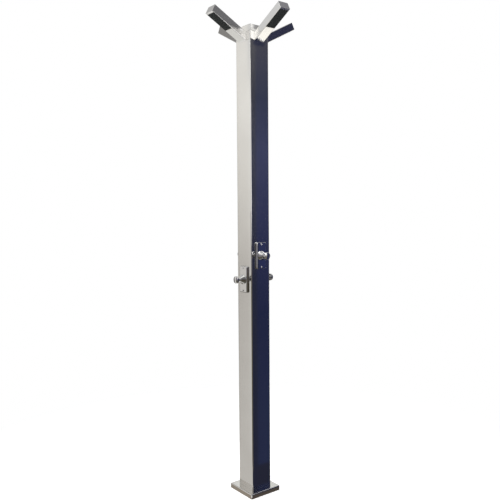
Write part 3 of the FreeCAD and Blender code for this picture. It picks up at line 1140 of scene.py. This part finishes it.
def pale_floor(name):
    material, tree = bare_material(name)
    place = object_place(tree)
    white = node(tree, "BsdfDiffuse", Color=floor_white)
    lift = node(tree, "Emission", Strength=floor_lift)
    lit = node(tree, "AddShader")
    tree.links.new(white.outputs[0], lit.inputs[0])
    tree.links.new(lift.outputs[0], lit.inputs[1])
    far_white = node(tree, "Emission")
    distance = measure(tree, place, "LENGTH")
    fade_stops = [(fade_start, no_share), (fade_end, full_share)]
    fade = ramp_of(tree, distance, fade_start, fade_end, fade_stops)
    seen = mix_of(tree, fade, lit.outputs[0], far_white.outputs[0])
    # Painted shade: what the steel mirrors goes dark by the base, and farther out a painted pool of
    # light glows at the back left.
    base_shade = ramp_of(tree, distance, 0.0, 0.5, [(foot_reach, foot_shade_tone), (near_reach, base_shade_tone)])
    leftwards = measure(tree, place, "DOT_PRODUCT", (-1, 0, 0))
    far = ramp_of(tree, leftwards, 0.0, 3.0, [(1.0, back_glow_tone), (2.4, left_tone)])
    backwards = measure(tree, place, "DOT_PRODUCT", back_left)
    share = ramp_of(tree, backwards, 0.8, 1.6, [(back_start, no_share), (back_full, full_share)])
    mirrored = mix_of(tree, share, glow_of(tree, base_shade), glow_of(tree, far))
    ray = node(tree, "LightPath")
    mirror_or_light = mix_of(tree, ray.outputs["Is Glossy Ray"], lit.outputs[0], mirrored)
    both = mix_of(tree, ray.outputs["Is Camera Ray"], mirror_or_light, seen)
    node(tree, "OutputMaterial", Surface=both)
    return material


deselect()
bpy.ops.mesh.primitive_circle_add(vertices=fine_corners, radius=floor_reach, fill_type="NGON")
floor = added("floor")
floor.data.materials.append(pale_floor("pale_floor"))


# Boards: glowing panels that only the steel mirrors. They are no lamps and light nothing else, and
# they paint the steel's reflections: dark, as a yard would be, on the right and light on the left,
# with boards overhead that paint the highlights on the rims, and dark boards that paint shade. Each
# has its tones along one axis.
board_height = 3.2
board_depth = 0.001
root_wall = 0.12
right_wall = 0.35
outer_wall = 0.50
front_wall = -0.42
back_wall = 2.30
left_wall = -3.40
roof = 3.40


def board_tone(name, *stops, axis=Z):
    """A board's tones along an axis: (place, colour) pairs."""
    material, tree = bare_material(name)
    split = node(tree, "SeparateXYZ", Vector=object_place(tree))
    tones = ramp_of(tree, split.outputs[axis], stops[0][0], stops[-1][0], stops)
    node(tree, "OutputMaterial", Surface=glow_of(tree, tones))
    return material


def even_tone(name, colour):
    return board_tone(name, (0.0, colour), (board_height, colour))


def board(name, low, high, material):
    piece = box_between(name, low, high)
    piece.data.materials.append(material)
    for ray in ("camera", "diffuse", "shadow", "transmission", "volume_scatter"):
        setattr(piece, "visible_" + ray, False)


def side_board(name, wall, along, upright, material):
    """A board across X, with its reach along Y and upwards."""
    low = (wall, along[0], upright[0])
    high = (wall + board_depth, along[1], upright[1])
    board(name, low, high, material)


def cross_board(name, wall, along, upright, material):
    """A board across Y, with its reach along X and upwards."""
    low = (along[0], wall - board_depth, upright[0])
    high = (along[1], wall, upright[1])
    board(name, low, high, material)


def flat_board(name, level, low, high, material):
    """A board that lies flat, between two corners."""
    board(name, (*low, level), (*high, level + board_depth), material)


dark_blue = board_tone(
    "dark_blue",
    (0.3, (0.022, 0.025, 0.051)),
    (1.2, (0.026, 0.030, 0.060)),
    (1.85, (0.058, 0.062, 0.098)),
    (2.15, (0.057, 0.059, 0.083)),
    (2.45, (0.120, 0.120, 0.140)),
)
blue = board_tone(
    "blue",
    (0.3, (0.026, 0.034, 0.087)),
    (0.9, (0.020, 0.026, 0.078)),
    (1.4, (0.035, 0.042, 0.115)),
    (1.85, (0.062, 0.072, 0.160)),
    (2.15, (0.048, 0.057, 0.110)),
    (2.45, (0.076, 0.077, 0.112)),
)
deep_blue = board_tone("deep_blue", (0.3, (0.020, 0.025, 0.060)), (2.4, (0.034, 0.038, 0.080)))
dim = even_tone("dim", (0.205, 0.205, 0.22))
bright = even_tone("bright", (1.5, 1.5, 1.5))
side_board("dark_blue_board", right_wall, (0.11, 0.20), (0.0, 2.5), dark_blue)
side_board("blue_board", right_wall, (0.20, 0.30), (0.0, 2.5), blue)
side_board("deep_blue_board", right_wall, (0.30, 0.80), (0.0, 2.85), deep_blue)
side_board("far_blue_board", right_wall, (1.0, 1.6), (0.0, 2.85), deep_blue)
side_board("dim_board", right_wall, (-0.14, 0.11), (2.35, 2.85), dim)
side_board("dim_strip", right_wall, (0.11, 0.20), (2.5, 2.53), dim)
side_board("upper_dim_board", right_wall, (0.11, 0.155), (2.53, 2.85), dim)
# Painted highlight: a strip brighter than white that the right face mirrors as a white wedge high
# up by its front corner.
side_board("highlight_board", right_wall, (0.155, 0.185), (2.53, 2.85), bright)
# Painted shade: dark boards that the right face mirrors as shade under the right arm's root.
side_board("root_shade", right_wall - board_depth, (0.185, 0.262), (2.445, 2.49), deep_blue)
side_board("root_shade_wedge", root_wall, (0.112, 0.206), (1.95, 2.2), deep_blue)

warm = board_tone(
    "warm",
    (0.2, (0.69, 0.67, 0.64)),
    (1.1, (0.645, 0.62, 0.59)),
    (1.7, (0.92, 0.90, 0.86)),
    (2.2, (1.07, 1.055, 1.02)),
)
pale = board_tone(
    "pale",
    (0.2, (0.76, 0.75, 0.73)),
    (1.1, (0.74, 0.72, 0.69)),
    (1.7, (0.98, 0.97, 0.94)),
    (2.2, (1.08, 1.07, 1.04)),
    (2.5, (0.86, 0.87, 0.88)),
)
# Its dark low tone is painted shade, mirrored as a dark line under the front valve plate's bottom
# edge.
grey = board_tone(
    "grey",
    (0.9, (0.08, 0.075, 0.07)),
    (1.25, (0.20, 0.195, 0.19)),
    (2.3, (0.32, 0.315, 0.31)),
)
olive = board_tone("olive", (1.05, (0.10, 0.095, 0.07)), (1.15, (0.26, 0.24, 0.27)))
cross_board("grey_board", front_wall, (-1.6, -0.585), (0.0, board_height), grey)
cross_board("warm_board", front_wall, (-0.585, -0.43), (0.0, board_height), warm)
cross_board("pale_board", front_wall, (-0.43, -0.25), (0.0, board_height), pale)
cross_board("olive_board", front_wall, (-0.25, 0.50), (0.0, 1.5), olive)
cross_board("upper_pale_board", front_wall, (-0.25, 0.30), (1.5, board_height), pale)

brown = board_tone(
    "brown",
    (0.2, (0.060, 0.048, 0.038)),
    (1.12, (0.075, 0.062, 0.050)),
    (1.20, (0.11, 0.11, 0.12)),
    (1.40, (0.11, 0.11, 0.12)),
    (1.55, (0.14, 0.14, 0.14)),
)
light = even_tone("light", (1.3, 1.3, 1.3))
white = even_tone("white", (2.8, 2.8, 2.8))
soft = even_tone("soft", (0.95, 0.95, 0.95))
# Painted highlight: a band that glows brighter than white, mirrored as the white glints on the
# right bonnet and the right plate's screws.
glint_band = board_tone(
    "glint_band",
    (1.3, (0.80, 0.80, 0.78)),
    (1.55, (2.2, 2.2, 2.25)),
    (2.15, (2.2, 2.2, 2.25)),
    (2.3, (1.06, 1.05, 1.03)),
    (2.5, (0.86, 0.87, 0.88)),
)
side_board("brown_board", outer_wall, (-1.1, -0.20), (0.0, 2.3), brown)
side_board("upper_light_board", outer_wall, (-1.1, -0.385), (2.3, board_height), light)
# Painted highlight: a very bright strip that the steel mirrors as white near the arms' roots.
side_board("upper_highlight_board", outer_wall, (-0.385, -0.33), (2.3, board_height), white)
side_board("upper_soft_board", outer_wall, (-0.33, -0.20), (2.3, board_height), soft)
side_board("glint_band_board", outer_wall, (-0.20, 0.20), (1.3, board_height), glint_band)

slate = board_tone("slate", (0.3, (0.03, 0.03, 0.04)), (1.5, (0.05, 0.05, 0.06)))
hedge = board_tone(
    "hedge",
    (1.45, (0.12, 0.115, 0.11)),
    (1.60, (0.78, 0.78, 0.76)),
    (2.4, (0.78, 0.78, 0.76)),
)
cross_board("back_board", back_wall, (-3.2, 0.6), (0.0, 1.4), slate)
side_board("hedge_board", left_wall, (-1.2, 3.4), (0.0, 2.4), hedge)

# Painted shade: by the cover's right side the mirrored floor is a dark warm brown, the shade at the
# base, and dark blue further out.
shaded_brown_floor = board_tone(
    "shaded_brown_floor", (0.118, (0.080, 0.066, 0.056)), (0.135, (0.024, 0.026, 0.050)), axis=X
)
blue_floor = board_tone(
    "blue_floor", (1.2, (0.040, 0.043, 0.085)), (2.2, (0.048, 0.050, 0.100)), axis=Y
)
flat_board("back_shade", 1.33, (-0.01, 0.20), (0.16, 0.32), slate)
flat_board("shaded_brown_mat", 0.0, (0.096, -0.5), (0.35, 1.6), shaded_brown_floor)
flat_board("warm_mat", 0.0, (-0.585, -0.42), (0.094, -0.128), warm)
flat_board("blue_mat", 0.0, (-0.33, 1.2), (0.30, 2.2), blue_floor)
# Painted highlight on the cover's front corner, and patches on the floor that glow brighter than
# white: painted pools of light in what the steel mirrors.
flat_board("corner_highlight_mat", board_depth, (0.098, -0.15), (0.14, -0.10), light)
flat_board("floor_glint_mat", 0.0, (0.40, 1.5), (0.90, 2.0), white)
flat_board("floor_glow_patch", 0.0, (-3.3, -0.8), (-2.2, -0.1), light)

# Overhead boards: painted highlights. The steel mirrors them as the lights on the rims, bonnets,
# screws, plate corners and the cover's bend; the brightest, at six times white, paints the glints.
glint_glow = even_tone("glint_glow", (6.0, 6.0, 6.0))
cloud = even_tone("cloud", (1.6, 1.6, 1.6))
dusk = even_tone("dusk", (0.30, 0.30, 0.33))
flat_board("glint_board", roof, (0.2, -2.2), (1.6, -0.7), glint_glow)
flat_board("cloud_board", roof, (-1.2, 1.1), (0.0, 2.3), cloud)
flat_board("far_cloud_board", roof, (-0.1, 1.9), (2.2, 3.0), cloud)
flat_board("light_cloud_board", roof, (1.1, 0.85), (1.9, 1.6), light)
flat_board("dusk_board", roof, (0.1, 0.4), (0.8, 1.0), dusk)


# Light: a wide soft lamp from the front left, a weaker one from the right and one above. The
# steel doesn't mirror them.
lamp_aim = (0, 0, 1.3)


def soft_lamp(name, place, aim, size, power):
    lamp = bpy.data.lights.new(name, "AREA")
    lamp.shape = "DISK"
    lamp.size = size
    lamp.energy = power
    holder = bpy.data.objects.new(name, lamp)
    holder.location = place
    holder.rotation_euler = (Vector(aim) - Vector(place)).to_track_quat("-Z", "Y").to_euler()
    holder.visible_glossy = False
    bpy.context.scene.collection.objects.link(holder)


soft_lamp("key_lamp", (-2.4, -2.6, 3.2), lamp_aim, size=1.6, power=60)
soft_lamp("fill_lamp", (2.6, -2.2, 2.2), lamp_aim, size=1.2, power=16)
soft_lamp("top_lamp", (0.3, 0.6, 4.4), (0, 0, 0), size=2.0, power=50)


# Surroundings: white to the camera, and to everything else a room that is bright on the
# left, dimmer on the right and grey overhead.
right_side = (0.40, 0.40, 0.41)
left_side = (1.0, 0.99, 0.97)
ceiling_grey = (0.45, 0.45, 0.46, 1)
bright_way = (-0.95, -0.30, 0)


def room(name):
    world = bpy.data.worlds.new(name)
    world.use_nodes = True
    tree = world.node_tree
    tree.nodes.clear()
    place = node(tree, "TexCoord").outputs["Generated"]
    leftwards = measure(tree, place, "DOT_PRODUCT", bright_way)
    sides = ramp_of(tree, leftwards, -1, 1, [(-0.7, right_side), (0.5, left_side)])
    upwards = measure(tree, place, "DOT_PRODUCT", (0, 0, 1))
    ceiling = node(tree, "Background", Color=ceiling_grey)
    around = node(tree, "Background", Color=sides)
    share = ramp_of(tree, upwards, 0, 1, [(0.36, no_share), (0.68, full_share)])
    lit = mix_of(tree, share, around.outputs[0], ceiling.outputs[0])
    white = node(tree, "Background", Color=(1, 1, 1, 1))
    ray = node(tree, "LightPath")
    both = mix_of(tree, ray.outputs["Is Camera Ray"], lit, white.outputs[0])
    node(tree, "OutputWorld", Surface=both)
    return world


bpy.context.scene.world = room("room")
bpy.context.scene.view_settings.view_transform = "Standard"


# Camera: at a standing person's eye height, a little to the right of the front corner, and
# far enough away to take in the whole column.
camera_distance = 3.26731
camera_height = 1.4887
camera_side = math.radians(52.44)
camera_turn = math.radians(0.32)
camera_tilt = math.radians(3.37)
camera_roll = math.radians(-0.40)
sensor_width = 36.0
lens_length = 44.415

lens = bpy.data.cameras.new("camera")
lens.sensor_width = sensor_width
lens.lens = lens_length
camera = bpy.data.objects.new("camera", lens)
aim = Matrix.Rotation(camera_side + camera_turn, 4, "Z")
aim = aim @ Matrix.Rotation(math.radians(90) - camera_tilt, 4, "X")
aim = aim @ Matrix.Rotation(camera_roll, 4, "Z")
camera.rotation_euler = aim.to_euler()
camera.location = (
    math.sin(camera_side) * camera_distance,
    -math.cos(camera_side) * camera_distance,
    camera_height,
)
bpy.context.scene.collection.objects.link(camera)
bpy.context.scene.camera = camera
